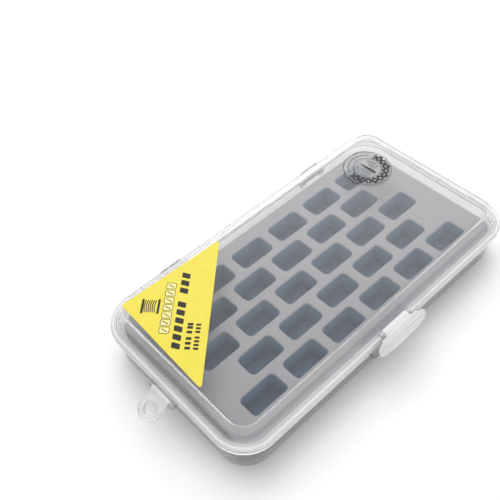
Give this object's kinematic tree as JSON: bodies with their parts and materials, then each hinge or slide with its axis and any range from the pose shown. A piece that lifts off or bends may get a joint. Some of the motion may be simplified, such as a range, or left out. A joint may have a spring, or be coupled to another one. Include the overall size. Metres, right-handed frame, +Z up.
{
  "type": "bobbin storage case",
  "caption": "Clear hinged storage case for sewing-machine bobbins, with a slotted foam insert, a snap latch on the front, a folding hang tab and blank stickers on the lid.",
  "frame": {"origin": "centre of the flat underside of the base tray, on the surface the case rests on", "axes": "+Z up; +X along the length, away from the hang tab, which is at the -X end; the latch is on the -Y side and the lid's hinge on the +Y side"},
  "size_m": [0.2137, 0.1137, 0.0315],
  "materials": {
    "clear_base": "gloss",
    "clear_lid": "polished",
    "frosted_latch": "satin",
    "clear_tab": "gloss",
    "grey_foam": "matte",
    "backing_foam": "matte",
    "yellow_label": "satin",
    "clear_film": "gloss",
    "moulded_pins": "gloss",
    "steel_wire": "satin"
  },
  "bodies": {
    "case": {"base_tray": "clear_base", "foam_backing": "backing_foam", "foam_insert": "grey_foam", "hinge_pin_left": "steel_wire", "hinge_pin_right": "steel_wire", "hang_tab_pin": "moulded_pins"},
    "lid": {"lid_shell": "clear_lid", "label_sticker": "yellow_label", "seal_sticker": "clear_film", "latch_pin": "moulded_pins"},
    "latch": {"latch": "frosted_latch"},
    "hang_tab": {"hang_tab": "clear_tab"}
  },
  "joints": [
    {"name": "lid_hinge", "type": "hinge", "parent": "case", "child": "lid", "pos_m": [0, 0.0526, 0.0155], "axis": [-1, 0, 0], "range_deg": [0, 175]},
    {"name": "latch_hinge", "type": "hinge", "parent": "lid", "child": "latch", "pos_m": [0, -0.0516, 0.0244], "axis": [-1, 0, 0], "range_deg": [0, 100]},
    {"name": "hang_tab_hinge", "type": "hinge", "parent": "case", "child": "hang_tab", "pos_m": [-0.1012, 0, 0.0177], "axis": [0, -1, 0], "range_deg": [-25, 55]}
  ]
}
